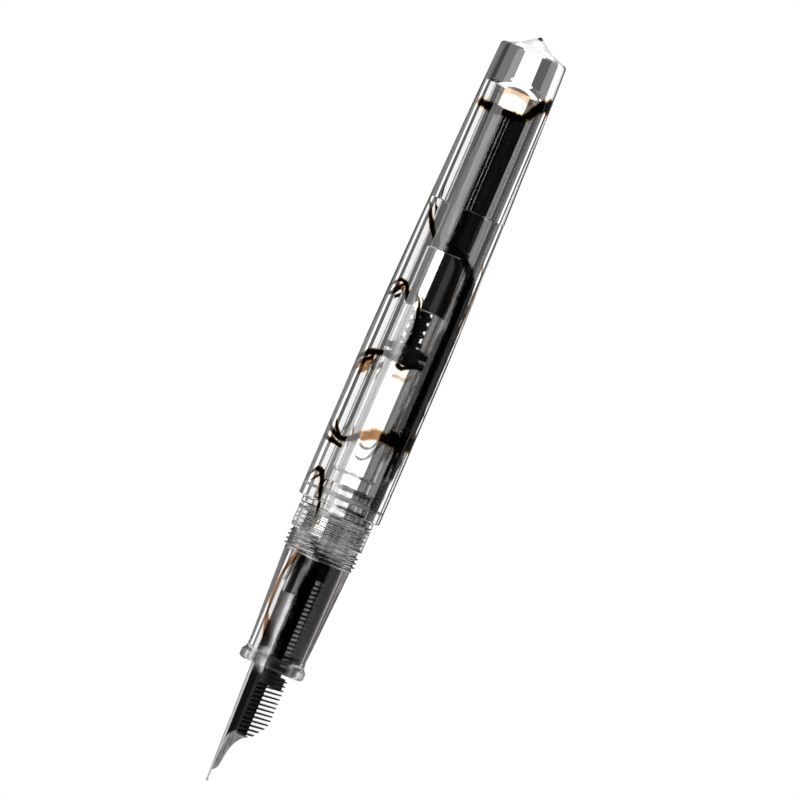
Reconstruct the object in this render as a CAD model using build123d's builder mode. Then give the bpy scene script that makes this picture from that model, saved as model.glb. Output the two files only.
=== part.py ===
from build123d import *
import os
from math import cos, radians, sin

# A transparent cartridge/converter fountain pen, open and without its cap. Millimetres.
# +Z runs up the pen's axis from the nib's point to the cone at the tail, and the axis is X = Y = 0.
# The top of the nib faces -X and the open fins of the feed face +X.

# Driving heights along the pen.
NIB_REAR_Z = 33.2
SECTION_FRONT_Z = 20.65
GRIP_REAR_Z = 39.8
BARREL_MOUTH_Z = 43.4
BARREL_SHOULDER_Z = 48.7
TENON_END_Z = 52.7
TANK_SHOULDER_Z = 54.7
FERRULE_Z = 83.4
FERRULE_TOP_Z = 93.5
KNOB_TOP_Z = 118.5
TAIL_Z = 128.6
PEN_LENGTH = 131.5

# Driving radii.
BARREL_R = 7.05
BARREL_BORE_R = 4.53
TAIL_BORE_R = 3.95
NECK_R = 6.19
SECTION_BORE_R = 3.25
CONVERTER_SEAT_R = 3.36
CONVERTER_R = 3.63
TANK_R = 2.70
KNOB_R = 3.15
ROD_R = 1.75

# Fits: radial gaps between pieces that turn, slide or push together.
RUNNING_GAP = 0.08
PUSH_GAP = 0.03

# Threads. All are single start except the piston rod's, which has two.
THREAD_PITCH = 0.75
CAP_THREAD_R = 6.10
CAP_THREAD_TURNS = 4
TENON_THREAD_R = 5.00
TENON_CORE_R = 4.62
TENON_THREAD_TURNS = 4
ROD_LEAD = 3.0
ROD_STARTS = 2
ROD_CORE_R = 1.25

# Nib and feed.
SHEET = 0.30
NIB_TIP_R = 2.50
NIB_BODY_R = 3.22
FIN_PITCH = 0.75
FIN_THICKNESS = 0.20
FIN_TILT = 7.0
FEED_CORE_R = 2.2

os.makedirs("parts", exist_ok=True)


def save(name, piece):
    """Labels a finished piece and writes it as one STEP file."""
    piece.part.label = name
    export_step(piece.part, f"parts/{name}.step")


def profile(points):
    """A closed outline of (radius, height) points in the XZ plane, ready to revolve."""
    with BuildSketch(Plane.XZ) as face:
        with BuildLine():
            Polyline(*points, close=True)
        make_face()
    return face.sketch


def ridge(root_r, crest_r, lead, turns, start_z, root_width=0.6, crest_width=0.12):
    """One helical thread ridge, rooted a little inside the cylinder that carries it."""
    depth = crest_r - root_r
    sink = 0.15
    half_root = root_width / 2
    half_crest = crest_width / 2
    with BuildPart() as thread:
        with BuildLine() as path:
            Helix(pitch=lead, height=lead * turns, radius=root_r, center=(0, 0, start_z))
        with BuildSketch(Plane(origin=path.line @ 0, x_dir=(1, 0, 0), z_dir=path.line % 0)):
            with BuildLine():
                Polyline(
                    (-sink, -half_root),
                    (depth, -half_crest),
                    (depth, half_crest),
                    (-sink, half_root),
                    close=True,
                )
            make_face()
        sweep(path=path.line, is_frenet=True)
    return thread.part


def nib_radius(z):
    """Outer radius of the nib's sheet, which opens out from the point to the part inside the section."""
    taper = (NIB_BODY_R - NIB_TIP_R) / SECTION_FRONT_Z
    return NIB_TIP_R + taper * min(z, SECTION_FRONT_Z)


# Section: the grip, with its lip, the cap's thread and the tenon that the barrel screws onto.
LIP_R = 5.56
LIP_TOP_Z = 22.1
WAIST_R = 4.95
WAIST_Z = 23.9
GRIP_REAR_R = 5.69
TENON_R = BARREL_BORE_R - RUNNING_GAP
TENON_THREAD_Z = BARREL_MOUTH_Z + 0.35
TENON_PLAIN_Z = 47.3
WEB_Z = 39.9
WEB_TOP_Z = 41.1
NIPPLE_R = 1.45
NIPPLE_TOP_Z = 46.2
INK_HOLE_R = 0.7
RING_GROOVE_Z = 50.15
RING_GROOVE_R = 3.78
RING_SECTION = 0.95

with BuildPart() as section:
    with BuildSketch(Plane.XZ):
        with BuildLine():
            Polyline(
                (0, WEB_Z),
                (SECTION_BORE_R, WEB_Z),
                (SECTION_BORE_R, SECTION_FRONT_Z),
                (LIP_R - 0.45, SECTION_FRONT_Z),
            )
            RadiusArc((LIP_R - 0.45, SECTION_FRONT_Z), (LIP_R, SECTION_FRONT_Z + 0.45), -0.45)
            Line((LIP_R, SECTION_FRONT_Z + 0.45), (LIP_R, LIP_TOP_Z))
            Spline(
                (LIP_R, LIP_TOP_Z),
                (WAIST_R + 0.12, LIP_TOP_Z + 0.75),
                (WAIST_R, WAIST_Z),
                tangents=((0, 1), (0, 1)),
            )
            Polyline(
                (WAIST_R, WAIST_Z),
                (GRIP_REAR_R, GRIP_REAR_Z),
                (GRIP_REAR_R, BARREL_MOUTH_Z),
                (TENON_CORE_R, BARREL_MOUTH_Z),
                (TENON_CORE_R, TENON_PLAIN_Z),
                (TENON_R, TENON_PLAIN_Z + 0.2),
                (TENON_R, TENON_END_Z - 0.2),
                (TENON_R - 0.2, TENON_END_Z),
                (CONVERTER_SEAT_R, TENON_END_Z),
                (CONVERTER_SEAT_R, WEB_TOP_Z),
                (NIPPLE_R, WEB_TOP_Z),
                (NIPPLE_R, NIPPLE_TOP_Z - 0.3),
                (NIPPLE_R - 0.3, NIPPLE_TOP_Z),
                (0, NIPPLE_TOP_Z),
                (0, WEB_Z),
            )
        make_face()
    revolve(axis=Axis.Z)
    with BuildSketch(Plane.XY.offset(WEB_Z)):
        Circle(INK_HOLE_R)
    extrude(amount=NIPPLE_TOP_Z - WEB_Z, mode=Mode.SUBTRACT)
    groove = [
        (RING_GROOVE_R, RING_GROOVE_Z),
        (TENON_R + 0.2, RING_GROOVE_Z),
        (TENON_R + 0.2, RING_GROOVE_Z + RING_SECTION),
        (RING_GROOVE_R, RING_GROOVE_Z + RING_SECTION),
    ]
    revolve(profile(groove), axis=Axis.Z, mode=Mode.SUBTRACT)
    add(ridge(GRIP_REAR_R, CAP_THREAD_R, THREAD_PITCH, CAP_THREAD_TURNS, GRIP_REAR_Z + 0.3))
    add(ridge(TENON_CORE_R, TENON_THREAD_R, THREAD_PITCH, TENON_THREAD_TURNS, TENON_THREAD_Z))
save("section", section)

# Section O-ring: clear silicone, seated in the groove near the tenon's end.
with BuildPart() as section_oring:
    ring_r = (RING_GROOVE_R + BARREL_BORE_R) / 2
    with BuildSketch(Plane.XZ):
        with Locations((ring_r + 0.005, RING_GROOVE_Z + RING_SECTION / 2)):
            Circle((BARREL_BORE_R - RING_GROOVE_R) / 2 - 0.01)
    revolve(axis=Axis.Z)
save("section_oring", section_oring)

# Barrel: one clear piece, thick walled, with a neck, a slow taper, a two-step bore and a cone at the tail.
TAPER_START_Z = 75.8
TAIL_R = 5.71
TAIL_EDGE = 0.4
CONE_BREAK_R = 2.9
CONE_BREAK_Z = 129.5
THREAD_RELIEF_Z = 47.6
BORE_STEP_Z = 101.1
BORE_END_Z = 121.8
BORE_TIP_Z = 124.2

with BuildPart() as barrel:
    with BuildSketch(Plane.XZ):
        with BuildLine():
            Polyline(
                (0, BORE_TIP_Z),
                (TAIL_BORE_R, BORE_END_Z),
                (TAIL_BORE_R, BORE_STEP_Z),
                (BARREL_BORE_R, BORE_STEP_Z),
                (BARREL_BORE_R, THREAD_RELIEF_Z + 0.15),
                (TENON_THREAD_R + RUNNING_GAP, THREAD_RELIEF_Z),
                (TENON_THREAD_R + RUNNING_GAP, BARREL_MOUTH_Z + 0.05),
                (NECK_R - 0.15, BARREL_MOUTH_Z + 0.05),
                (NECK_R, BARREL_MOUTH_Z + 0.2),
                (NECK_R, BARREL_SHOULDER_Z),
                (BARREL_R - 0.15, BARREL_SHOULDER_Z),
                (BARREL_R, BARREL_SHOULDER_Z + 0.15),
                (BARREL_R, TAPER_START_Z),
            )
            Spline(
                (BARREL_R, TAPER_START_Z),
                (6.80, 88.5),
                (6.37, 106.5),
                (5.97, 121.0),
                (TAIL_R, TAIL_Z - TAIL_EDGE),
                tangents=((0, 1), (-0.04, 1)),
            )
            Polyline(
                (TAIL_R, TAIL_Z - TAIL_EDGE),
                (TAIL_R - TAIL_EDGE / 2, TAIL_Z),
                (CONE_BREAK_R, CONE_BREAK_Z),
                (0.25, PEN_LENGTH - 0.12),
                (0, PEN_LENGTH),
                (0, BORE_TIP_Z),
            )
        make_face()
    revolve(axis=Axis.Z)
save("barrel", barrel)

# Nib: a bent steel sheet. Its shape from above is cut out of a thin cone, with a slit and a breather hole.
NIB_START_Z = 0.4
BREATHER_Z = 11.6
BREATHER_R = 0.65
SLIT = 0.10
SHOULDER_Z = 9.2
WING_DEPTH = 0.93

with BuildPart() as nib:
    sheet = [
        (NIB_TIP_R - SHEET, 0),
        (NIB_TIP_R, 0),
        (NIB_BODY_R, SECTION_FRONT_Z),
        (NIB_BODY_R, NIB_REAR_Z),
        (NIB_BODY_R - SHEET, NIB_REAR_Z),
        (NIB_BODY_R - SHEET, SECTION_FRONT_Z),
    ]
    revolve(profile(sheet), axis=Axis.Z)
    with BuildSketch(Plane.YZ.offset(-WING_DEPTH)):
        with BuildLine():
            tine = Spline(
                (0.22, NIB_START_Z),
                (0.85, 4.0),
                (1.45, 6.9),
                (1.95, 8.5),
                (2.75, SHOULDER_Z + 0.3),
                (3.4, SHOULDER_Z + 1.0),
            )
            Polyline(tine @ 1, (3.4, NIB_REAR_Z), (0, NIB_REAR_Z), (0, NIB_START_Z), tine @ 0)
        make_face()
        mirror(about=Plane.YZ)
    extrude(amount=-4, mode=Mode.INTERSECT)
    with Locations((-3, 0, BREATHER_Z)):
        Cylinder(BREATHER_R, 4, rotation=(0, 90, 0), mode=Mode.SUBTRACT)
    with Locations((-3, 0, BREATHER_Z / 2)):
        Box(4, SLIT, BREATHER_Z, mode=Mode.SUBTRACT)
save("nib", nib)

# Nib tipping: the hard pellet at the point, ground as two halves either side of the slit.
PELLET_R = 0.24
PELLET_X = 0.15 - NIB_TIP_R

with BuildPart() as nib_tipping:
    with Locations((PELLET_X, 0, PELLET_R)):
        Sphere(PELLET_R)
        Box(1, SLIT, 1, mode=Mode.SUBTRACT)
    with Locations((PELLET_X, 0, NIB_START_Z)):
        Box(1, 1, 1, align=(Align.CENTER, Align.CENTER, Align.MIN), mode=Mode.SUBTRACT)
save("nib_tipping", nib_tipping)

# Feed: hugs the nib from below. A comb of fins stands on a slim core, under the nib and inside the section.
BEAK_Z = 2.2
FREE_FINS = 12
BLOCK_FINS = 3
FREE_FIN_Z = 9.45
FREE_FIN_R = 3.45
HIDDEN_FIN_R = 3.19
HIDDEN_FINS = 19
BLOCK_Z = 18.1
BLOCK_TOP_Z = 20.0
BLOCK_R = 3.0
BLOCK_STEP_X = 2.1
HIDDEN_FIN_Z = 22.3
FEED_TAIL_Z = 36.9
FEED_REAR_Z = 39.7
CORE_EDGE_X = 0.65
HIDDEN_CORE_EDGE_X = 1.1
FEED_GAP = 0.03


def disc(radius, z, tilt):
    """One fin: a thin disc whose +X side leans towards the tail, kept on the nib's open side."""
    lean = radians(tilt)
    lean_plane = Plane(origin=(0, 0, z), x_dir=(cos(lean), 0, sin(lean)), z_dir=(-sin(lean), 0, cos(lean)))
    with BuildPart() as fin:
        with BuildSketch(lean_plane):
            Circle(radius)
            with Locations((-WING_DEPTH + FEED_GAP, 0)):
                Rectangle(10, 10, align=(Align.MIN, Align.CENTER), mode=Mode.INTERSECT)
        extrude(amount=FIN_THICKNESS / 2, both=True)
    return fin.part


with BuildPart() as feed:
    under_nib = [
        (0, BEAK_Z - 1),
        (nib_radius(BEAK_Z - 1) - SHEET - FEED_GAP, BEAK_Z - 1),
        (NIB_BODY_R - SHEET - FEED_GAP, SECTION_FRONT_Z),
        (NIB_BODY_R - SHEET - FEED_GAP, NIB_REAR_Z),
        (NIB_BODY_R - SHEET - FEED_GAP, FEED_REAR_Z),
        (0, FEED_REAR_Z),
    ]
    revolve(profile(under_nib), axis=Axis.Z)
    with BuildSketch(Plane.XZ):
        with BuildLine():
            Polyline(
                (CORE_EDGE_X, FREE_FIN_Z - 0.35),
                (CORE_EDGE_X, BLOCK_Z),
                (5, BLOCK_Z),
                (5, FREE_FIN_Z - 0.35),
                close=True,
            )
        make_face()
        with BuildLine():
            Polyline(
                (HIDDEN_CORE_EDGE_X, HIDDEN_FIN_Z - 0.4),
                (HIDDEN_CORE_EDGE_X, FEED_TAIL_Z),
                (5, FEED_TAIL_Z),
                (5, HIDDEN_FIN_Z - 0.4),
                close=True,
            )
        make_face()
    extrude(amount=5, both=True, mode=Mode.SUBTRACT)
    for side in (-1, 1):
        for start, end in ((FREE_FIN_Z - 0.35, BLOCK_Z), (HIDDEN_FIN_Z - 0.4, FEED_TAIL_Z)):
            with Locations((-WING_DEPTH + FEED_GAP, side * FEED_CORE_R, start)):
                keep = Align.MIN if side > 0 else Align.MAX
                Box(6, 3, end - start, align=(Align.MIN, keep, Align.MIN), mode=Mode.SUBTRACT)
    for index in range(FREE_FINS + BLOCK_FINS):
        add(disc(FREE_FIN_R, FREE_FIN_Z + index * FIN_PITCH, FIN_TILT))
    for index in range(HIDDEN_FINS):
        add(disc(HIDDEN_FIN_R, HIDDEN_FIN_Z + index * FIN_PITCH, FIN_TILT))
    with BuildSketch(Plane.XY.offset(BLOCK_Z)):
        Circle(BLOCK_R)
        with Locations((-WING_DEPTH + FEED_GAP, 0)):
            Rectangle(10, 10, align=(Align.MIN, Align.CENTER), mode=Mode.INTERSECT)
    extrude(amount=BLOCK_TOP_Z - BLOCK_Z)
    with BuildSketch(Plane.XY.offset(BLOCK_TOP_Z)):
        with Locations((BLOCK_STEP_X, 0)):
            Rectangle(5, 10, align=(Align.MIN, Align.CENTER))
    extrude(amount=SECTION_FRONT_Z - BLOCK_TOP_Z, mode=Mode.SUBTRACT)
    # From the side: a chamfered beak, a hollow curve up to the first fin, and fins that grow to full reach.
    with BuildSketch(Plane.XZ):
        with BuildLine():
            beak = Polyline((-2.02, BEAK_Z), (-1.5, BEAK_Z + 0.7))
            throat = Spline(
                beak @ 1,
                (-1.13, 5.65),
                (-0.48, 7.6),
                (0.25, 8.6),
                (1.3, 9.2),
            )
            fin_ends = Spline(throat @ 1, (2.42, 10.65), (3.39, 12.4), tangents=((0.8, 0.6), (0.1, 1)))
            Polyline(
                fin_ends @ 1,
                (3.6, 13.2),
                (3.6, FEED_REAR_Z + 1),
                (-4, FEED_REAR_Z + 1),
                (-4, BEAK_Z),
                (-2.02, BEAK_Z),
            )
        make_face()
    extrude(amount=5, both=True, mode=Mode.INTERSECT)
    # From above: the beak is as slim as the nib's tines and flares into the first fin.
    with BuildSketch(Plane.YZ):
        with BuildLine():
            flank = Spline(
                (0.5, BEAK_Z),
                (0.75, 3.6),
                (1.2, 6.6),
                (1.75, 8.4),
                (2.5, 9.0),
                tangents=((0, 1), (1, 0.2)),
            )
            Polyline(flank @ 1, (4, 9.0), (4, FEED_REAR_Z), (0, FEED_REAR_Z), (0, BEAK_Z), flank @ 0)
        make_face()
        mirror(about=Plane.YZ)
    extrude(amount=5, both=True, mode=Mode.INTERSECT)
    with Locations((-NIB_BODY_R, 0, BEAK_Z + 0.8)):
        Box(1.9, 0.4, FEED_REAR_Z, align=(Align.CENTER, Align.CENTER, Align.MIN), mode=Mode.SUBTRACT)
save("feed", feed)

# Converter tube: the clear ink tank, with a narrow mouth pushed over the nipple.
MOUTH_R = CONVERTER_SEAT_R - PUSH_GAP - 0.03
MOUTH_Z = WEB_TOP_Z + 0.15
MOUTH_BORE_R = NIPPLE_R + PUSH_GAP
TANK_NECK_R = 2.45
TANK_NECK_Z = 47.4
TUBE_TOP_Z = 88.0
FERRULE_WALL = 0.28
FERRULE_BORE_R = CONVERTER_R + 0.03 - FERRULE_WALL
SPIGOT_R = FERRULE_BORE_R - PUSH_GAP

with BuildPart() as converter_tube:
    tube = [
        (MOUTH_BORE_R, MOUTH_Z),
        (MOUTH_R - 0.2, MOUTH_Z),
        (MOUTH_R, MOUTH_Z + 0.2),
        (MOUTH_R, TANK_SHOULDER_Z - 0.25),
        (CONVERTER_R, TANK_SHOULDER_Z + 0.15),
        (CONVERTER_R, FERRULE_Z),
        (SPIGOT_R, FERRULE_Z),
        (SPIGOT_R, TUBE_TOP_Z),
        (TANK_R, TUBE_TOP_Z),
        (TANK_R, TANK_SHOULDER_Z + 0.25),
        (TANK_NECK_R, TANK_SHOULDER_Z + 0.15),
        (TANK_NECK_R, TANK_NECK_Z),
        (MOUTH_BORE_R, TANK_NECK_Z - 0.8),
    ]
    revolve(profile(tube), axis=Axis.Z)
save("converter_tube", converter_tube)

# Converter ferrule: a bright metal sleeve over the tube's top, the guide and the knob's foot.
with BuildPart() as converter_ferrule:
    sleeve = [
        (FERRULE_BORE_R, FERRULE_Z + 0.02),
        (CONVERTER_R, FERRULE_Z + 0.02),
        (CONVERTER_R + 0.03, FERRULE_Z + 0.1),
        (CONVERTER_R + 0.03, FERRULE_TOP_Z - 0.15),
        (CONVERTER_R - 0.12, FERRULE_TOP_Z),
        (FERRULE_BORE_R, FERRULE_TOP_Z),
    ]
    revolve(profile(sleeve), axis=Axis.Z)
save("converter_ferrule", converter_ferrule)

# Converter guide: the bush whose flats stop the piston rod turning.
GUIDE_TOP_Z = 91.0
ROD_HALF_FLAT = 1.35

with BuildPart() as converter_guide:
    with BuildSketch(Plane.XY.offset(TUBE_TOP_Z + 0.02)):
        Circle(SPIGOT_R)
    extrude(amount=GUIDE_TOP_Z - TUBE_TOP_Z - 0.02)
    with BuildSketch(Plane.XY.offset(TUBE_TOP_Z)):
        Circle(ROD_R + RUNNING_GAP)
        Rectangle(10, 2 * (ROD_HALF_FLAT + RUNNING_GAP), mode=Mode.INTERSECT)
    extrude(amount=GUIDE_TOP_Z - TUBE_TOP_Z, mode=Mode.SUBTRACT)
save("converter_guide", converter_guide)

# Converter collar: the black ring in the ferrule's mouth that holds the knob's foot down.
FOOT_TOP_Z = 92.3
KNOB_NECK_R = 2.5
COLLAR_R = 3.34
COLLAR_TOP_Z = 94.7

with BuildPart() as converter_collar:
    with BuildSketch(Plane.XZ):
        with BuildLine():
            Polyline(
                (COLLAR_R, COLLAR_TOP_Z - 0.5),
                (COLLAR_R, FOOT_TOP_Z + RUNNING_GAP),
                (KNOB_NECK_R + RUNNING_GAP, FOOT_TOP_Z + RUNNING_GAP),
                (KNOB_NECK_R + RUNNING_GAP, COLLAR_TOP_Z),
                (COLLAR_R - 0.5, COLLAR_TOP_Z),
            )
            RadiusArc((COLLAR_R - 0.5, COLLAR_TOP_Z), (COLLAR_R, COLLAR_TOP_Z - 0.5), 0.5)
        make_face()
    revolve(axis=Axis.Z)
save("converter_collar", converter_collar)

# Converter knob: black, hollow, with a threaded nut in its foot and fine ribs for the fingers.
FOOT_Z = GUIDE_TOP_Z + RUNNING_GAP
FOOT_R = FERRULE_BORE_R - RUNNING_GAP
KNOB_Z = COLLAR_TOP_Z + RUNNING_GAP
RIB_Z = 101.1
RIBS = 36
RIB_GROOVE_R = 0.11
KNOB_BORE_TOP_Z = 117.3

with BuildPart() as converter_knob:
    body = [
        (ROD_R + RUNNING_GAP, FOOT_Z),
        (FOOT_R, FOOT_Z),
        (FOOT_R, FOOT_TOP_Z),
        (KNOB_NECK_R, FOOT_TOP_Z),
        (KNOB_NECK_R, KNOB_Z),
        (KNOB_R - 0.15, KNOB_Z),
        (KNOB_R, KNOB_Z + 0.15),
        (KNOB_R, KNOB_TOP_Z - 0.5),
        (KNOB_R - 0.5, KNOB_TOP_Z),
        (0, KNOB_TOP_Z),
        (0, KNOB_BORE_TOP_Z),
        (ROD_R + RUNNING_GAP, KNOB_BORE_TOP_Z),
    ]
    revolve(profile(body), axis=Axis.Z)
    with BuildSketch(Plane.XY.offset(RIB_Z)):
        with PolarLocations(KNOB_R + 0.03, RIBS):
            Circle(RIB_GROOVE_R)
    extrude(amount=KNOB_TOP_Z - 0.65 - RIB_Z, mode=Mode.SUBTRACT)
save("converter_knob", converter_knob)

# Piston rod: a coarse thread with two flats, a flange and the barb that carries the seal.
SEAL_Z = 74.0
SEAL_TOP_Z = 77.3
BARB_R = 1.2
FLANGE_R = 2.0
FLANGE_Z = 77.5
FLANGE_TOP_Z = 78.3
ROD_TOP_Z = 111.6

with BuildPart() as piston_rod:
    stem = [
        (0, SEAL_Z + 0.9),
        (BARB_R - 0.2, SEAL_Z + 0.9),
        (BARB_R, SEAL_Z + 1.1),
        (BARB_R, FLANGE_Z),
        (FLANGE_R, FLANGE_Z),
        (FLANGE_R, FLANGE_TOP_Z),
        (ROD_CORE_R, FLANGE_TOP_Z),
        (ROD_CORE_R, ROD_TOP_Z - 0.3),
        (ROD_CORE_R - 0.3, ROD_TOP_Z),
        (0, ROD_TOP_Z),
    ]
    revolve(profile(stem), axis=Axis.Z)
    rod_turns = (ROD_TOP_Z - FLANGE_TOP_Z - 2.2) / ROD_LEAD
    rod_ridge = ridge(
        ROD_CORE_R, ROD_R, ROD_LEAD, rod_turns, FLANGE_TOP_Z + 1.1, root_width=1.1, crest_width=0.35
    )
    for start in range(ROD_STARTS):
        add(rod_ridge, rotation=(0, 0, 360 * start / ROD_STARTS))
    with Locations((0, 0, FLANGE_TOP_Z)):
        for side in (-1, 1):
            with Locations((0, side * (ROD_HALF_FLAT + 1), 0)):
                Box(6, 2, 40, align=(Align.CENTER, Align.CENTER, Align.MIN), mode=Mode.SUBTRACT)
save("piston_rod", piston_rod)

# Piston seal: black rubber plug with two lips, pushed onto the rod's barb.
SEAL_R = TANK_R - PUSH_GAP
LIP_SPLIT_Z = 75.65

with BuildPart() as piston_seal:
    plug = [
        (0, SEAL_Z + 0.25),
        (SEAL_R - 0.35, SEAL_Z),
        (SEAL_R, SEAL_Z + 0.25),
        (SEAL_R, LIP_SPLIT_Z - 0.25),
        (SEAL_R - 0.35, LIP_SPLIT_Z),
        (SEAL_R, LIP_SPLIT_Z + 0.25),
        (SEAL_R, SEAL_TOP_Z - 0.3),
        (SEAL_R - 0.35, SEAL_TOP_Z),
        (BARB_R + PUSH_GAP, SEAL_TOP_Z),
        (BARB_R + PUSH_GAP, SEAL_Z + 0.85),
        (0, SEAL_Z + 0.85),
    ]
    revolve(profile(plug), axis=Axis.Z)
save("piston_seal", piston_seal)
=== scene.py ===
import math
from math import cos, pi, radians, sin, tau

import bmesh
import bpy
import numpy as np
from mathutils import Matrix, Vector


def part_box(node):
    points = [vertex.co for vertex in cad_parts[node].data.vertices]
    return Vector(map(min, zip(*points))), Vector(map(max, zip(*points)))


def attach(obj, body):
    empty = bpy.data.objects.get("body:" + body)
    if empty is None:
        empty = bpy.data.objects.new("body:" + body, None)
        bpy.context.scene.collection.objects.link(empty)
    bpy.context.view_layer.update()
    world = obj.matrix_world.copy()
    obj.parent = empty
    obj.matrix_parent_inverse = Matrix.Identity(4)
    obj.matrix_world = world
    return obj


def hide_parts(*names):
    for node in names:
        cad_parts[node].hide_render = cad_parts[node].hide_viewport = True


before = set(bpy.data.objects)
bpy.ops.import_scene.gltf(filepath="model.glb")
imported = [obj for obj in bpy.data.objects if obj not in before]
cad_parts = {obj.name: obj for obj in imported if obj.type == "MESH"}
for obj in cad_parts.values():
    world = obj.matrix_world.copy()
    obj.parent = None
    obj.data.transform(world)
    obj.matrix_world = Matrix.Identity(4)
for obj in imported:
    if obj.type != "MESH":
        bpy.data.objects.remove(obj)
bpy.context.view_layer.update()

MM = 0.001
ROUND = 192  # divisions round a turned piece
ACRYLIC_IOR = 1.49

# Where the turned pieces start and end along the pen, read from the frame.
Z = {name: (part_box(name)[0].z / MM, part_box(name)[1].z / MM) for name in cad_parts}


# ---------------------------------------------------------------- camera

LEAN = radians(23.25)  # how far the pen leans clockwise in the picture
FRAME_WIDTH = 129.0  # millimetres of the pen's plane that the picture takes in
AIM = Vector((2.12, 0, 68.75)) * MM
LENS = 500.0


def make_camera():
    data = bpy.data.cameras.new("camera")
    data.lens = LENS
    data.sensor_width = 36.0
    distance = FRAME_WIDTH * MM * data.lens / data.sensor_width
    data.clip_start, data.clip_end = 0.01, 20
    camera = bpy.data.objects.new("camera", data)
    bpy.context.collection.objects.link(camera)
    right = Vector((cos(LEAN), 0, sin(LEAN)))
    up = Vector((-sin(LEAN), 0, cos(LEAN)))
    back = Vector((0, -1, 0))
    turn = Matrix((right, up, back)).transposed().to_4x4()
    camera.matrix_world = Matrix.Translation(AIM + back * distance) @ turn
    bpy.context.scene.camera = camera


# ---------------------------------------------------------------- geometry helpers


def arc_corner(before, corner, after, radius, steps=5):
    """Points that round one corner of an outline, as far as its two sides allow."""
    a, b = (before - corner), (after - corner)
    reach_a, reach_b = a.length, b.length
    a, b = a.normalized(), b.normalized()
    half = a.angle(b) / 2
    nearly_folded, nearly_straight = 0.05, pi / 2 - 0.03
    if half < nearly_folded or half > nearly_straight:
        return [corner]
    most = 0.48  # of either side, so that the next corner has its share
    run = min(radius / math.tan(half), reach_a * most, reach_b * most)
    start, end = corner + a * run, corner + b * run
    return [
        start.lerp(corner, k / steps).lerp(corner.lerp(end, k / steps), k / steps)
        for k in range(steps + 1)
    ]


def rounded(outline, closed=True):
    """(radius, height, corner radius) points as a smooth outline of (radius, height)."""
    points = [Vector(p[:2]) for p in outline]
    softness = [p[2] if len(p) > 2 else 0 for p in outline]
    result = []
    for i, point in enumerate(points):
        inner = closed or 0 < i < len(points) - 1
        if softness[i] and inner:
            after = points[(i + 1) % len(points)]
            result += arc_corner(points[i - 1], point, after, softness[i])
        else:
            result.append(point)
    return [(p.x, p.y) for p in result]


def curve_through(points, steps):
    """A smooth open line through a few (radius, height) points, as a Catmull-Rom spline."""
    p = [np.array(q, float) for q in points]
    p = [2 * p[0] - p[1], *p, 2 * p[-1] - p[-2]]
    out = []
    for i in range(1, len(p) - 2):
        for k in range(steps):
            t = k / steps
            out.append(
                0.5 * (2 * p[i] + (p[i + 1] - p[i - 1]) * t
                       + (2 * p[i - 1] - 5 * p[i] + 4 * p[i + 1] - p[i + 2]) * t * t
                       + (3 * p[i] - p[i - 1] - 3 * p[i + 1] + p[i + 2]) * t ** 3)
            )
    out.append(p[-2])
    return [tuple(q) for q in out]


def add_mesh(name, vertices, faces, sharp=35.0):
    """A mesh object from points in millimetres, smooth except at edges sharper than the angle."""
    mesh = bpy.data.meshes.new(name)
    mesh.from_pydata([tuple(c * MM for c in v) for v in vertices], [], faces)
    mesh.update()
    mesh.shade_smooth()
    mesh.set_sharp_from_angle(angle=radians(sharp))
    piece = bpy.data.objects.new(name, mesh)
    bpy.context.collection.objects.link(piece)
    return piece


def turned(name, outline, sharp=35.0, offset=None, divisions=ROUND):
    """Turns a closed outline of (radius, height) about the pen's axis.

    offset(angle, radius, height) may add to the radius, for threads and ribs. The outline runs so that
    the solid lies to its left.
    """
    rows, poles = [], {}
    vertices, faces = [], []
    for i, (r, z) in enumerate(outline):
        if r < 1e-6:
            poles[i] = len(vertices)
            vertices.append((0, 0, z))
            rows.append(None)
            continue
        rows.append(len(vertices))
        for k in range(divisions):
            angle = tau * k / divisions
            radius = r + (offset(angle, r, z) if offset else 0)
            vertices.append((radius * cos(angle), radius * sin(angle), z))
    count = len(outline)
    for i in range(count):
        j = (i + 1) % count
        if rows[i] is None and rows[j] is None:
            continue
        for k in range(divisions):
            m = (k + 1) % divisions
            if rows[i] is None:
                faces.append((poles[i], rows[j] + m, rows[j] + k))
            elif rows[j] is None:
                faces.append((rows[i] + k, rows[i] + m, poles[j]))
            else:
                faces.append((rows[i] + k, rows[i] + m, rows[j] + m, rows[j] + k))
    return add_mesh(name, vertices, faces, sharp)


def dense(outline, low, high, step):
    """Adds points to the upright stretches of an outline between two heights, so that a thread can show.

    Stretches inside the core radius carry no thread and are left as they are.
    """
    core = 4.5
    result = []
    count = len(outline)
    for i, (r, z) in enumerate(outline):
        r2, z2 = outline[(i + 1) % count]
        result.append((r, z))
        a, b = max(min(z, z2), low), min(max(z, z2), high)
        if b - a > step and abs(r2 - r) < abs(z2 - z) and min(r, r2) > core:
            n = int((b - a) / step)
            inner = [a + (b - a) * k / n for k in range(n + 1)]
            inner = [h for h in inner if min(z, z2) < h < max(z, z2)]
            inner = inner if z2 > z else inner[::-1]
            result += [(r + (r2 - r) * (h - z) / (z2 - z), h) for h in inner]
    return result


def thread_height(angle, z, start, end, pitch, depth):
    """How far a helical thread stands out of its core at one angle and height.

    It fades in and out at its ends, over one pitch.
    """
    if not start - pitch < z < end + pitch:
        return 0.0
    fade = min(max((z - start) / pitch + 0.5, 0), 1) * min(max((end - z) / pitch + 0.5, 0), 1)
    off_crest = abs((z / pitch - angle / tau) % 1.0 - 0.5) * 2
    flank_foot, flank_width = 0.85, 0.65  # in half pitches from the middle of the crest
    rise = min(max((flank_foot - off_crest) / flank_width, 0), 1)
    return depth * fade * rise * rise * (3 - 2 * rise)


# ---------------------------------------------------------------- materials


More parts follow.
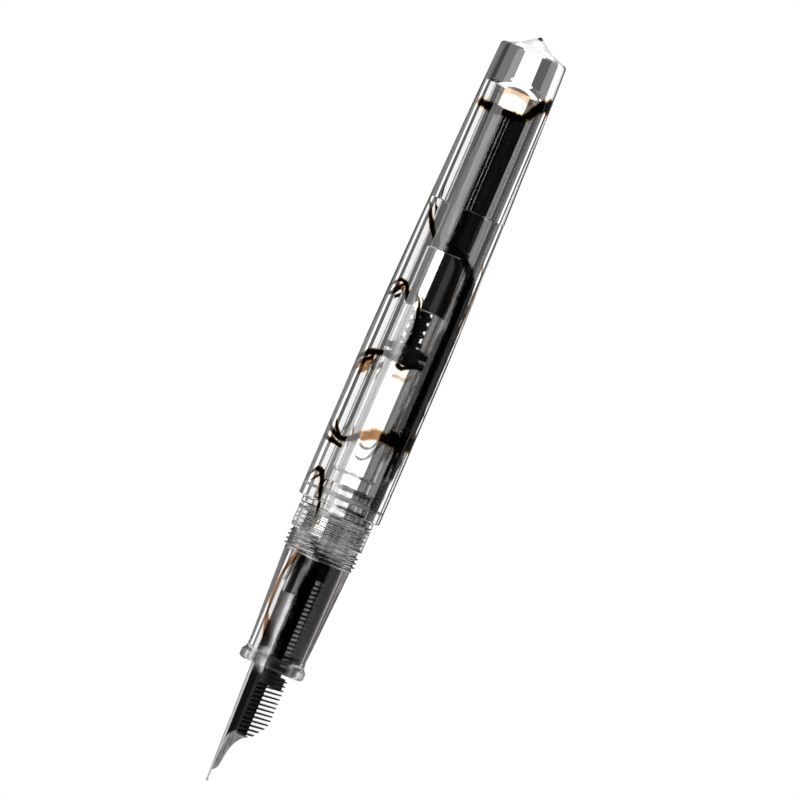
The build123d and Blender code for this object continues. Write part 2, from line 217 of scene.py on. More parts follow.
class Shader:
    """A new material's node tree, with short calls for adding and joining nodes."""

    def __init__(self, name):
        self.material = bpy.data.materials.new(name)
        self.material.use_nodes = True
        self.tree = self.material.node_tree
        self.tree.nodes.clear()
        self.output = self.tree.nodes.new("ShaderNodeOutputMaterial")

    def node(self, kind, inputs=None, **settings):
        node = self.tree.nodes.new("ShaderNode" + kind)
        for key, value in settings.items():
            setattr(node, key, value)
        for key, value in (inputs or {}).items():
            if isinstance(value, bpy.types.NodeSocket):
                self.tree.links.new(value, node.inputs[key])
            else:
                node.inputs[key].default_value = value
        return node

    def surface(self, socket):
        self.tree.links.new(socket, self.output.inputs["Surface"])

    def volume(self, socket):
        self.tree.links.new(socket, self.output.inputs["Volume"])

    def place(self, stretch=(1, 1, 1)):
        """Object coordinates in millimetres."""
        coordinates = self.node("TexCoord")
        mapping = self.node("Mapping", {"Vector": coordinates.outputs["Object"]})
        mapping.inputs["Scale"].default_value = [s / MM for s in stretch]
        return mapping.outputs["Vector"]

    def axes(self):
        """The X, Y and Z outputs of a point's place in millimetres."""
        return self.node("SeparateXYZ", {"Vector": self.place()}).outputs

    def math(self, operation, *values):
        """A Math node's result, from sockets or numbers."""
        return self.node("Math", dict(enumerate(values)), operation=operation).outputs[0]

    def noise(self, scale, detail=4.0, stretch=(1, 1, 1), roughness=0.55):
        return self.node(
            "TexNoise",
            {"Vector": self.place(stretch=stretch), "Scale": scale, "Detail": detail, "Roughness": roughness},
        ).outputs["Fac"]

    def span(self, value, low, high, out_low, out_high):
        return self.node(
            "MapRange",
            {"Value": value, "From Min": low, "From Max": high, "To Min": out_low, "To Max": out_high},
        ).outputs["Result"]

    def bump(self, height, strength, distance):
        inputs = {"Height": height, "Strength": strength, "Distance": distance}
        return self.node("Bump", inputs).outputs["Normal"]


def matt_share(s, radius, low, high):
    """1 inside a radius between two heights, and 0 elsewhere."""
    axes = s.axes()
    squared = s.math("ADD", s.math("POWER", axes["X"], 2.0), s.math("POWER", axes["Y"], 2.0))
    inside = s.math("LESS_THAN", squared, radius ** 2)
    above = s.math("GREATER_THAN", axes["Z"], low)
    below = s.math("LESS_THAN", axes["Z"], high)
    return s.math("MULTIPLY", inside, s.math("MULTIPLY", above, below))


def clear_plastic(name, tint, density, rough=(0.0, 0.03), frost=None, matt_bore=None):
    """Clear polished plastic: faint polishing haze, a trace of tool marks and a tint by depth.

    frost is (height, roughness): below that height the surface is left matt.
    matt_bore is (radius, low, high, roughness): the bore inside that radius is left matt between two heights.
    """
    s = Shader(name)
    haze = s.span(s.noise(0.35, 5.0, (1, 1, 0.25)), 0.45, 0.75, rough[0], rough[1])
    if frost:
        height, matt = frost
        haze = s.math("ADD", haze, s.span(s.axes()["Z"], height, height + 0.5, matt, 0.0))
    if matt_bore:
        radius, low, high, matt = matt_bore
        haze = s.math("MULTIPLY_ADD", matt_share(s, radius, low, high), matt, haze)
    ripple = s.bump(s.noise(0.22, 2.0, (1, 1, 0.15)), strength=0.02, distance=0.0002)
    skin = s.node(
        "BsdfPrincipled",
        {
            "Base Color": (1, 1, 1, 1),
            "Roughness": haze,
            "IOR": ACRYLIC_IOR,
            "Transmission Weight": 1.0,
            "Normal": ripple,
        },
    )
    s.surface(skin.outputs["BSDF"])
    depth = s.node("VolumeAbsorption", {"Color": (*tint, 1), "Density": density})
    s.volume(depth.outputs["Volume"])
    return s.material


BLACK = (0.003, 0.003, 0.0035)


def black_plastic(name, rough, grain=6.0, strength=0.15, painted_sheen=None):
    """Moulded black plastic with a fine grain and slightly uneven gloss.

    painted_sheen is (height, grey): below that height the base colour is painted greyish, a painted sheen for
    the light on the feed's beak.
    """
    s = Shader(name)
    tone = s.node("ValToRGB", {"Fac": s.noise(0.8, 6.0)})
    tone.color_ramp.elements[0].color = (*[c * 0.6 for c in BLACK], 1)
    tone.color_ramp.elements[1].color = (*[c * 1.6 for c in BLACK], 1)
    base = tone.outputs["Color"]
    if painted_sheen:
        # Painted sheen: below the height the base colour turns grey, standing in for light on the beak.
        height, shade = painted_sheen
        share = s.span(s.axes()["Z"], height - 0.1, height, 1.0, 0.0)
        grey = s.span(s.noise(1.6, 5.0, (1, 1, 0.2)), 0.35, 0.65, shade * 0.6, shade * 1.4)
        # A Mix node takes its colours at 6 and 7 and gives one at 2.
        base = s.node("Mix", {0: share, 6: base, 7: grey}, data_type="RGBA").outputs[2]
    skin = s.node(
        "BsdfPrincipled",
        {
            "Base Color": base,
            "Roughness": s.span(s.noise(1.4, 6.0), 0.3, 0.7, rough[0], rough[1]),
            "IOR": 1.5,
            "Normal": s.bump(s.noise(grain, 3.0), strength, distance=0.00003),
        },
    )
    s.surface(skin.outputs["BSDF"])
    return s.material


def polished_metal(name, colour, rough, brush=(1, 1, 0.05), satin=None):
    """Bright metal with hairline scratches along or round the piece and slightly uneven polish.

    satin is (height, roughness): above that height the metal is left duller.
    """
    s = Shader(name)
    lines = s.noise(9.0, 6.0, brush, 0.7)
    polish = s.span(s.noise(0.9, 6.0, brush), 0.35, 0.7, rough[0], rough[1])
    if satin:
        height, dull = satin
        polish = s.math("ADD", polish, s.span(s.axes()["Z"], height, height + 2.0, 0.0, dull))
    skin = s.node(
        "BsdfPrincipled",
        {
            "Base Color": (*colour, 1),
            "Metallic": 1.0,
            "Roughness": polish,
            "Normal": s.bump(lines, strength=0.08, distance=0.00002),
        },
    )
    s.surface(skin.outputs["BSDF"])
    return s.material


# ---------------------------------------------------------------- the clear pieces

THREAD_PITCH = 0.75
ROW = 0.02  # between rows of a thread's mesh

# Radii and heights in millimetres. Heights are up the pen from the nib's point.
BODY_R, BODY_FOOT_Z, BODY_TOP_Z = 7.05, 48.7, 75.8
NECK_R = 6.19
THREAD_BORE_R, THREAD_BORE_TOP_Z = 5.08, 47.6
BORE_R, BORE_TOP_Z = 4.53, 101.1
TAIL_BORE_R, TAIL_BORE_TOP_Z, TAIL_BORE_TIP_Z = 3.95, 121.8, 124.2
CAP_THREAD_ROOT_R = 5.69
TENON_THREAD_ROOT_R = 4.62
TENON_R, TENON_FOOT_Z = 4.45, 47.5
GROOVE_R, GROOVE_LOW_Z, GROOVE_HIGH_Z = 3.78, 50.15, 51.1
FEED_SOCKET_R, FEED_SOCKET_TOP_Z = 3.25, 39.9
CONVERTER_SOCKET_R, CONVERTER_SOCKET_FOOT_Z = 3.36, 41.1
SPIGOT_R, SPIGOT_TOP_Z, SPIGOT_BORE_R = 1.45, 46.2, 0.7


def barrel_side():
    """The barrel's outer side from its shoulder to the edge of the tail."""
    taper = [(BODY_R, BODY_TOP_Z), (6.80, 88.5), (6.37, 106.5), (5.97, 121.0), (5.71, 128.2)]
    return [(BODY_R, BODY_FOOT_Z + 0.16), *curve_through(taper, 10)]


def make_barrel():
    mouth, tip = Z["barrel"]
    bore = [
        (0, TAIL_BORE_TIP_Z),
        (TAIL_BORE_R, TAIL_BORE_TOP_Z, 0.15),
        (TAIL_BORE_R, BORE_TOP_Z, 0.05),
        (BORE_R, BORE_TOP_Z, 0.12),
        (BORE_R, THREAD_BORE_TOP_Z + 0.15, 0.04),
        (THREAD_BORE_R, THREAD_BORE_TOP_Z, 0.04),
        (THREAD_BORE_R, mouth, 0.08),
        (NECK_R - 0.15, mouth, 0.1),
        (NECK_R, mouth + 0.15, 0.1),
        (NECK_R, BODY_FOOT_Z, 0.06),
        (BODY_R - 0.15, BODY_FOOT_Z, 0.1),
    ]
    tail = [(5.5, 128.6, 0.35), (2.9, 129.5, 0.25), (0.1, tip - 0.069), (0, tip)]
    side = [(*p, 0) for p in barrel_side()]
    outline = rounded([*bore, *side, *tail], closed=False)
    outline = dense(outline, mouth + 0.1, THREAD_BORE_TOP_Z - 0.1, ROW)

    def grooves(angle, r, z):
        if THREAD_BORE_R - 0.08 < r < THREAD_BORE_R + 0.02:
            return -thread_height(angle, z + THREAD_PITCH / 2, 44.2, 47.2, THREAD_PITCH, 0.36)
        return 0.0

    piece = turned("barrel_clear", outline, sharp=28.0, offset=grooves)
    piece.data.materials.append(clear_plastic("barrel_acrylic", (0.92, 0.92, 0.93), 3.0))
    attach(piece, "barrel")
    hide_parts("barrel")


def make_section():
    front, rear = Z["section"]
    cap_thread_top = 43.38
    lip = [(5.2, front, 0.2), (5.56, 21.0, 0.35), (5.56, 22.1, 0.35), (5.08, 22.75, 0.3)]
    outline = rounded(
        [
            (SPIGOT_BORE_R, FEED_SOCKET_TOP_Z),
            (FEED_SOCKET_R, FEED_SOCKET_TOP_Z, 0.05),
            (FEED_SOCKET_R, front, 0.15),
            *lip,
            (4.95, 23.9, 1.0),
            (CAP_THREAD_ROOT_R, 39.8, 0.1),
            (CAP_THREAD_ROOT_R, cap_thread_top, 0.04),
            (TENON_THREAD_ROOT_R, cap_thread_top, 0.05),
            (TENON_THREAD_ROOT_R, TENON_FOOT_Z - 0.2, 0.05),
            (TENON_R, TENON_FOOT_Z, 0.05),
            (TENON_R, GROOVE_LOW_Z, 0.03),
            (GROOVE_R, GROOVE_LOW_Z, 0.08),
            (GROOVE_R, GROOVE_HIGH_Z, 0.08),
            (TENON_R, GROOVE_HIGH_Z, 0.03),
            (TENON_R, rear - 0.2, 0.1),
            (TENON_R - 0.2, rear, 0.1),
            (CONVERTER_SOCKET_R, rear, 0.08),
            (CONVERTER_SOCKET_R, CONVERTER_SOCKET_FOOT_Z, 0.1),
            (SPIGOT_R, CONVERTER_SOCKET_FOOT_Z, 0.05),
            (SPIGOT_R, SPIGOT_TOP_Z - 0.3, 0.05),
            (SPIGOT_R - 0.3, SPIGOT_TOP_Z, 0.05),
            (SPIGOT_BORE_R, SPIGOT_TOP_Z),
        ]
    )
    outline = dense(outline, 39.5, 43.2, ROW)
    outline = dense(outline, 43.4, 47.3, ROW)

    def teeth(angle, r, z):
        if abs(r - CAP_THREAD_ROOT_R) < 0.05:
            return thread_height(angle, z, 40.1, 42.9, THREAD_PITCH, 0.41)
        if abs(r - TENON_THREAD_ROOT_R) < 0.05:
            return thread_height(angle, z, 43.9, 46.9, THREAD_PITCH, 0.38)
        return 0.0

    piece = turned("section_clear", outline, sharp=40.0, offset=teeth)
    acrylic = clear_plastic(
        "section_acrylic",
        (0.80, 0.78, 0.78),
        120.0,
        rough=(0.0, 0.08),
        frost=(22.3, 0.2),
        matt_bore=(3.5, 39.95, 47.6, 0.3),
    )
    piece.data.materials.append(acrylic)
    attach(piece, "grip_unit")
    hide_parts("section")


def make_oring():
    """The O-ring squeezed flat against the barrel's bore, so that it shows right across the wall."""
    r, z, contact_r = 4.16, 50.62, BORE_R + 0.015
    out, inward, half_height = 0.5, 0.36, 0.40
    outline = []
    for k in range(32):
        turn = tau * k / 32
        radius = min(r + out * cos(turn), contact_r) if cos(turn) > 0 else r + inward * cos(turn)
        outline.append((radius, z + half_height * sin(turn)))
    piece = turned("oring_silicone", outline)
    s = Shader("silicone")
    skin = s.node(
        "BsdfPrincipled",
        {
            "Base Color": (0.9, 0.9, 0.9, 1),
            "Roughness": s.span(s.noise(2.0), 0.3, 0.7, 0.3, 0.5),
            "IOR": 1.41,
            "Transmission Weight": 0.45,
        },
    )
    s.surface(skin.outputs["BSDF"])
    piece.data.materials.append(s.material)
    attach(piece, "grip_unit")
    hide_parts("section_oring")


def make_tank():
    mouth, top = Z["converter_tube"]
    nose_r, wall_r, seat_r = 3.3, 3.63, 3.35
    mouth_r, nose_bore_r, bore_r = 1.48, 2.45, 2.70
    wall_foot_z, seat_z = 54.85, 83.4
    outline = rounded(
        [
            (mouth_r, mouth),
            (nose_r - 0.2, mouth, 0.05),
            (nose_r, mouth + 0.2, 0.1),
            (nose_r, wall_foot_z - 0.4, 0.15),
            (wall_r, wall_foot_z, 0.12),
            (wall_r, seat_z, 0.03),
            (seat_r, seat_z, 0.03),
            (seat_r, top, 0.1),
            (bore_r, top, 0.08),
            (bore_r, wall_foot_z + 0.1, 0.05),
            (nose_bore_r, wall_foot_z, 0.05),
            (nose_bore_r, 47.4, 0.1),
            (mouth_r, 46.6, 0.1),
        ]
    )
    piece = turned("tank_clear", outline, sharp=28.0)
    plastic = clear_plastic("tank_plastic", (0.97, 0.97, 0.97), 3.0, rough=(0.0, 0.05))
    piece.data.materials.append(plastic)
    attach(piece, "grip_unit")
    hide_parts("converter_tube")


# ---------------------------------------------------------------- the solid pieces


def make_ferrule():
    low, high = Z["converter_ferrule"]
    bore_r, outer_r = 3.38, 3.66
    outline = rounded(
        [
            (bore_r, low),
            (outer_r - 0.08, low, 0.05),
            (outer_r, low + 0.1, 0.08),
            (outer_r, high - 0.15, 0.12),
            (outer_r - 0.16, high, 0.06),
            (bore_r, high),
        ]
    )
    piece = turned("ferrule", outline)
    round_it = (0.05, 0.05, 1)  # the way its hairlines run
    plate = polished_metal("ferrule_plate", (0.8, 0.8, 0.79), rough=(0.03, 0.1), brush=round_it)
    piece.data.materials.append(plate)
    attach(piece, "grip_unit")
    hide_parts("converter_ferrule")


def make_collar(black):
    low, high = Z["converter_collar"]
    bore_r, outer_r = 2.58, 3.34
    outline = rounded(
        [(bore_r, low), (outer_r, low, 0.05), (outer_r, high, 0.6), (bore_r, high, 0.1)]
    )
    piece = turned("collar", outline)
    piece.data.materials.append(black)
    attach(piece, "grip_unit")
    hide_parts("converter_collar")


RIBS = 36
RIB_DEPTH = 0.11
RIBS_LOW_Z, RIBS_HIGH_Z, RIBS_FADE = 101.0, 118.0, 0.4


def make_knob(black):
    low, high = Z["converter_knob"]
    bore_r, bore_top = 1.83, 117.3
    flange_r, flange_top = 3.30, 92.3
    neck_r, neck_top = 2.50, 94.78
    grip_r, grip_foot_r = 3.15, 3.0
    outline = rounded(
        [
            (bore_r, low),
            (flange_r, low, 0.05),
            (flange_r, flange_top, 0.1),
            (neck_r, flange_top, 0.05),
            (neck_r, neck_top, 0.05),
            (grip_foot_r, neck_top, 0.05),
            (grip_r, neck_top + 0.15, 0.1),
            # Four rows for the ribs, which start and end between them.
            (grip_r, 100.6, 0),
            (grip_r, 101.2, 0),
            (grip_r, 101.5, 0),
            (grip_r, 117.5, 0),
            (grip_r, high - 0.45, 0.2),
            (grip_r - 0.4, high, 0.35),
            (0, high),
            (0, bore_top),
            (bore_r, bore_top, 0.1),
        ]
    )

    def ribs(angle, r, z):
        if r < grip_foot_r:
            return 0.0
        start = min(max((z - RIBS_LOW_Z) / RIBS_FADE, 0), 1)
        finish = min(max((RIBS_HIGH_Z - z) / RIBS_FADE, 0), 1)
        return -RIB_DEPTH * start * finish * (0.5 - 0.5 * cos(angle * RIBS))

    # Fourteen divisions to a rib draw its round flank.
    piece = turned("knob", outline, offset=ribs, divisions=RIBS * 14)
    piece.data.materials.append(black)
    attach(piece, "knob")
    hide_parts("converter_knob")


def make_seal(rubber):
    low, high = Z["piston_seal"]
    wall_r, edge_r, socket_r = 2.71, 2.3, 1.23
    waist_r, waist_z = 2.35, 75.65
    socket_floor = low + 0.85
    outline = rounded(
        [
            (0, low + 0.25),
            (edge_r, low, 0.1),
            (wall_r, low + 0.25, 0.2),
            (wall_r, waist_z - 0.25, 0.15),
            (waist_r, waist_z, 0.1),
            (wall_r, waist_z + 0.25, 0.15),
            (wall_r, high - 0.3, 0.25),
            (edge_r, high, 0.1),
            (socket_r, high),
            (socket_r, socket_floor),
            (0, socket_floor),
        ],
        closed=False,
    )
    seal = turned("seal_rubber", outline)
    seal.data.materials.append(rubber)
    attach(seal, "piston")
    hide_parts("piston_seal")


# ---------------------------------------------------------------- smoke in the acrylic, and sheets of painted shade


def smoke(name, edge, body, core):
    """Dye in the acrylic, or painted shade: tinted where it is thin, dark where it is thick, with wispy
    edges.
    """
    s = Shader(name)
    uv = s.node("SeparateXYZ", {"Vector": s.node("TexCoord").outputs["UV"]}).outputs
    along, across = uv["X"], uv["Y"]
    off_middle = s.math("ABSOLUTE", s.math("SUBTRACT", across, 0.5))
    wisp = s.span(s.noise(0.55, 6.0, (1, 1, 0.7)), 0.3, 0.7, -0.14, 0.14)
    thickness = s.node(
        "MapRange",
        {"Value": s.math("ADD", off_middle, wisp), "From Min": 0.5, "From Max": 0.12},
        interpolation_type="SMOOTHSTEP",
    ).outputs["Result"]
    fade = 0.08  # of the strip's length, at each end
    start = s.span(along, 0.0, fade, 0.0, 1.0)
    finish = s.span(along, 1.0, 1.0 - fade, 0.0, 1.0)
    amount = s.math("MULTIPLY", thickness, s.math("MULTIPLY", start, finish))
    tint = s.node("ValToRGB", {"Fac": amount})
    ramp = tint.color_ramp
    ramp.elements[0].color = (1, 1, 1, 1)
    ramp.elements[1].color = (*core, 1)
    for place, colour in ((0.2, edge), (0.5, body), (0.75, core)):
        ramp.elements.new(place).color = (*colour, 1)
    dye = s.node("BsdfTransparent", {"Color": tint.outputs["Color"]})
    s.surface(dye.outputs["BSDF"])
    return s.material


def ribbon(name, body, material, radius, spine):
    """A strip of smoke, or of painted shade, on a cylinder inside the clear wall.

    The spine has (degrees round from the camera's side towards the feed, height, half width) points.
    """
    least_half = 0.03  # so that the strip never folds to nothing
    track = np.array(curve_through([(radians(a) * radius, z, w) for a, z, w in spine], 12))
    heading = np.gradient(track[:, :2], axis=0)
    heading /= np.linalg.norm(heading, axis=1)[:, None]
    across = np.stack([-heading[:, 1], heading[:, 0]], axis=1)
    columns = np.linspace(-1, 1, 9)
    vertices, faces, places = [], [], []
    for i, (arc, z, half) in enumerate(track):
        half = max(half, least_half)
        for c in columns:
            a = (arc + across[i, 0] * c * half) / radius
            h = z + across[i, 1] * c * half
            vertices.append((radius * sin(a), -radius * cos(a), h))
            places.append((i / (len(track) - 1), (c + 1) / 2))
    width = len(columns)
    for i in range(len(track) - 1):
        for k in range(width - 1):
            v = i * width + k
            faces.append((v, v + 1, v + width + 1, v + width))
    piece = add_mesh(name, vertices, faces)
    layer = piece.data.uv_layers.new(name="UVMap")
    for loop in piece.data.loops:
        layer.data[loop.index].uv = places[loop.vertex_index]
    piece.data.materials.append(material)
    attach(piece, body)


def make_smoke():
    black = smoke("smoke_black", (0.97, 0.83, 0.60), (0.27, 0.13, 0.06), (0.004, 0.003, 0.002))
    amber = smoke("smoke_amber", (0.97, 0.86, 0.72), (0.6, 0.37, 0.2), (0.36, 0.19, 0.095))
    grey = smoke("smoke_grey", (0.9, 0.89, 0.88), (0.6, 0.59, 0.58), (0.3, 0.29, 0.285))
    dark = smoke("smoke_dark", (0.75, 0.74, 0.73), (0.3, 0.29, 0.28), (0.03, 0.028, 0.026))
    # The veil colours serve only the painted shade on the section's right side.
    veil = smoke("smoke_painted_veil", (0.8, 0.79, 0.78), (0.4, 0.39, 0.38), (0.13, 0.125, 0.12))
    blush = smoke("smoke_blush", (0.98, 0.93, 0.87), (0.9, 0.78, 0.66), (0.72, 0.52, 0.36))
    inner, middle, outer = 4.8, 5.5, 6.2  # radii in the barrel's wall
    grip_wall, neck_wall = 4.3, 4.0  # radii in the section's wall
    in_barrel = [
        ("tail_ring", black, inner, [
            (-85, 117.9, 1.0), (-45, 117.9, 1.2), (-10, 117.9, 1.2), (20, 118.0, 1.2),
            (36, 119.0, 1.2), (58, 120.8, 1.5), (82, 121.4, 1.9), (110, 121.6, 1.0),
        ]),
        ("tail_amber", blush, inner, [
            (-34, 120.2, 0.5), (-14, 121.4, 0.9), (14, 121.5, 0.9), (34, 120.4, 0.6),
        ]),
        ("knob_thread", black, middle, [
            (-100, 104.9, 0.3), (-82, 100.6, 0.4), (-68, 99.3, 0.6), (-57, 97.9, 0.7),
            (-46, 96.5, 0.7), (-33, 95.1, 0.5), (-25, 93.5, 0.4),
        ]),
        ("sheet", dark, middle, [
            (68, 55.0, 0.7), (67, 58, 1.3), (68, 63, 1.9), (68, 70, 2.1), (67, 78, 2.2),
            (64, 85, 2.5), (58, 89.3, 2.2), (44, 92.0, 1.2), (18, 94.2, 0.6), (-8, 95, 0.3),
        ]),
        ("sheet_edge", amber, outer, [
            (86, 74, 0.5), (86, 84, 0.7), (76, 91, 0.5), (60, 94.6, 0.3),
        ]),
        ("loop_high", black, middle, [
            (-110, 84.6, 0.4), (-80, 85.6, 0.4), (-62, 86.6, 0.5), (-46, 86.3, 0.55),
            (-37, 85.0, 0.5), (-33, 83.6, 0.3),
        ]),
        ("loop_amber", amber, middle, [(-70, 85.4, 0.5), (-57, 85.7, 0.6), (-46, 85.2, 0.4)]),
        ("stroke", black, middle, [(-84, 83.7, 0.4), (-64, 84.5, 0.4), (-52, 85.5, 0.3)]),
        ("piston_wisp", black, middle, [
            (-24, 85.6, 0.3), (-12, 84.4, 0.35), (-5, 81.5, 0.35), (-1, 79.0, 0.4),
            (-4, 77.0, 0.5),
        ]),
        ("piston_ring", black, middle, [
            (-120, 71.8, 0.6), (-82, 72.9, 0.7), (-62, 73.9, 0.8), (-40, 74.5, 0.8),
            (-24, 74.9, 0.5),
        ]),
        ("piston_wedge", black, middle, [
            (-9, 73.9, 0.4), (2, 73.5, 0.7), (14, 74.1, 0.6), (26, 75.0, 0.3),
        ]),
        ("piston_amber", blush, middle, [
            (-8, 71.9, 0.3), (4, 72.0, 0.4), (18, 72.0, 0.4), (26, 73.4, 0.3),
        ]),
        ("ring_amber", amber, middle, [
            (-100, 70.0, 0.5), (-76, 71.4, 0.8), (-58, 72.4, 0.7), (-38, 73.2, 0.4),
        ]),
        ("tank_ring_high", black, middle, [
            (-110, 62.2, 0.4), (-80, 60.5, 0.6), (-56, 59.6, 0.7), (-38, 59.5, 0.6),
            (-24, 60.2, 0.9), (-16, 61.2, 0.4),
        ]),
        ("tank_ring_low", black, middle, [(-95, 58.9, 0.5), (-60, 58.4, 0.5), (-34, 58.2, 0.4)]),
        ("tank_loop", grey, middle, [
            (-12, 59.9, 0.25), (-3, 59.4, 0.3), (8, 59.8, 0.35), (17, 61.6, 0.4),
        ]),
        ("tank_loop_low", grey, middle, [
            (-12, 57.7, 0.25), (0, 57.5, 0.3), (10, 58.3, 0.35), (18, 60.4, 0.4), (24, 61.6, 0.4),
        ]),
        ("tank_amber", amber, middle, [
            (-18, 60.7, 0.8), (-6, 61.4, 1.2), (8, 62.0, 1.3), (24, 62.4, 1.0),
        ]),
        ("tank_black", black, middle, [
            (12, 61.7, 0.8), (34, 62.3, 1.7), (58, 62.4, 2.2), (90, 62.8, 2.2), (130, 62.6, 0.8),
        ]),
        ("tank_veil", grey, middle, [
            (34, 58.0, 0.6), (42, 63, 1.6), (44, 70, 2.0), (42, 77, 1.6), (46, 83, 0.8),
        ]),
        ("front_arch", black, middle, [
            (-110, 51.0, 0.3), (-82, 52.3, 0.4), (-66, 53.4, 0.6), (-52, 53.1, 0.7),
            (-43, 51.4, 0.7), (-37, 49.2, 0.5), (-30, 46.8, 0.45), (-25, 44.3, 0.4),
        ]),
        ("shoulder_smudge", grey, middle, [
            (58, 50.2, 1.0), (58, 52.2, 1.8), (60, 54.0, 1.6), (64, 56.0, 0.6),
        ]),
    ]
    in_section = [
        ("web_smoke", dark, grip_wall, [
            (-26, 43.2, 0.5), (-17, 41.9, 0.8), (-6, 40.9, 1.2), (8, 40.2, 1.3), (22, 39.4, 1.0),
            (36, 38.8, 0.5),
        ]),
        ("grip_ribbon", amber, grip_wall, [
            (-40, 40.6, 0.5), (-50, 38.2, 0.6), (-62, 35.6, 0.5), (-66, 32.6, 0.5),
            (-60, 29.4, 0.5), (-47, 27.0, 0.6), (-38, 24.0, 0.5),
        ]),
        ("grip_left", grey, grip_wall, [(-28, 40.2, 1.2), (-40, 37.8, 0.9), (-50, 34.6, 0.4)]),
        ("grip_foot", grey, grip_wall, [(-44, 28.2, 0.4), (-38, 25.8, 0.9), (-34, 23.4, 1.0)]),
        # Painted shade: these two grey sheets darken the right two thirds of the section, where less light
        # falls.
        ("grip_painted_veil", veil, grip_wall, [
            (22, 22.0, 2.2), (24, 26.5, 3.0), (22, 31, 3.2), (22, 36, 3.4), (30, 41.5, 2.8),
        ]),
        ("grip_painted_shade", grey, grip_wall, [
            (66, 22.4, 1.6), (68, 28, 2.6), (66, 34, 2.8), (70, 41, 2.2),
        ]),
        ("neck_low", grey, neck_wall, [
            (-8, 49.1, 0.4), (18, 49.0, 0.7), (50, 49.0, 0.6), (66, 49.2, 0.3),
        ]),
        ("neck_high", grey, neck_wall, [
            (-24, 52.1, 0.3), (4, 52.2, 0.6), (36, 52.2, 0.6), (62, 52.0, 0.3),
        ]),
    ]
    for name, material, radius, spine in in_barrel:
        ribbon("smoke_" + name, "barrel", material, radius, spine)
    for name, material, radius, spine in in_section:
        ribbon("smoke_" + name, "grip_unit", material, radius, spine)


# ---------------------------------------------------------------- nib


# Half width and height, seen from above, from the nib's point out to its shoulders.
NIB_EDGE = [(0.22, 0.4), (0.85, 4.0), (1.45, 6.9), (1.95, 8.5), (2.75, 9.5), (3.4, 10.2)]
NIB_PLAN = [(z, y) for y, z in curve_through(NIB_EDGE, 8)]


def nib_half_width(z):
    """Half the nib's width seen from above, at one height."""
    return float(np.interp(z, *zip(*NIB_PLAN)))


def make_nib(steel):
    """The nib as a bent sheet, with its slit, breather hole and softened edges."""
    low, high = Z["nib"]
    front = Z["section"][0]
    breather, hole_r, half_slit = 11.6, 0.65, 0.05
    point_r, spread = 2.5, 0.72  # how round it is bent at the point, and how much flatter behind
    wing = 0.93  # from the plane of the wings' edges to the pen's axis
    fine_low, fine_high = breather - 1, breather + 1
    heights = sorted(
        {
            *np.arange(low, fine_low, 0.15),
            *np.arange(fine_low, fine_high, 0.05),
            *np.arange(fine_high, high, 0.4),
            high,
        }
    )
    columns = 14
    vertices, faces = [], []
    for side in (-1, 1):
        base = len(vertices)
        for z in heights:
            r = point_r + spread * min(z / front, 1)
            edge = min(nib_half_width(z), math.sqrt(r * r - wing * wing))
            inner = half_slit if z < breather else 0.0
            if abs(z - breather) < hole_r:
                inner = max(inner, math.sqrt(hole_r ** 2 - (z - breather) ** 2))
            first, last = math.asin(inner / r), math.asin(edge / r)
            for k in range(columns + 1):
                a = first + (last - first) * k / columns
                vertices.append((-r * cos(a), side * r * sin(a), z))
        for i in range(len(heights) - 1):
            for k in range(columns):
                v = base + i * (columns + 1) + k
                face = (v, v + 1, v + columns + 2, v + columns + 1)
                faces.append(face if side < 0 else face[::-1])
    piece = add_mesh("nib_sheet", vertices, faces)
    mesh = bmesh.new()
    mesh.from_mesh(piece.data)
    bmesh.ops.remove_doubles(mesh, verts=mesh.verts, dist=0.02 * MM)
    bmesh.ops.recalc_face_normals(mesh, faces=mesh.faces)
    middle = min(mesh.faces, key=lambda f: f.calc_center_median().x)
    if middle.normal.x > 0:
        bmesh.ops.reverse_faces(mesh, faces=mesh.faces)
    mesh.to_mesh(piece.data)
    mesh.free()
    thick = piece.modifiers.new("sheet", "SOLIDIFY")
    thick.thickness = 0.30 * MM
    thick.offset = -1
    soft = piece.modifiers.new("edges", "BEVEL")
    soft.width = 0.1 * MM
    soft.segments = 3
    soft.limit_method = "ANGLE"
    soft.angle_limit = radians(50)
    piece.data.materials.append(steel)
    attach(piece, "grip_unit")
    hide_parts("nib")


# ---------------------------------------------------------------- studio


# Sizes and heights of the studio in metres.
STUDIO_R = 0.26
FLOOR_R, FLOOR_Z = 0.25, -0.06
PANEL_FOOT, CEILING = -0.055, 0.45


def make_stage():
    """A pale floor under the pen."""
    bpy.ops.mesh.primitive_circle_add(
        vertices=96, radius=FLOOR_R, fill_type="NGON", location=(0, 0, FLOOR_Z)
    )
    floor = bpy.context.object
    floor.name = "floor"
    s = Shader("pale_floor")
    skin = s.node("BsdfPrincipled", {"Base Color": (0.9, 0.9, 0.9, 1), "Roughness": 0.8})
    s.surface(skin.outputs["BSDF"])
    floor.data.materials.append(s.material)


def make_world():
    """Plain white surroundings."""
    world = bpy.data.worlds.new("studio")
    world.use_nodes = True
    tree = world.node_tree
    tree.nodes.clear()
    out = tree.nodes.new("ShaderNodeOutputWorld")
    background = tree.nodes.new("ShaderNodeBackground")
    background.inputs["Color"].default_value = (1, 1, 1, 1)
    tree.links.new(background.outputs[0], out.inputs["Surface"])
    bpy.context.scene.world = world


def light_up(piece, brightness):
    """A plain glow that only reflections and light through the pen show."""
    s = Shader(piece.name)
    glow = s.node("Emission", {"Color": (1, 1, 1, 1), "Strength": brightness})
    s.surface(glow.outputs[0])
    piece.data.materials.append(s.material)
    piece.visible_camera = False
    piece.visible_shadow = False
    piece.visible_diffuse = False


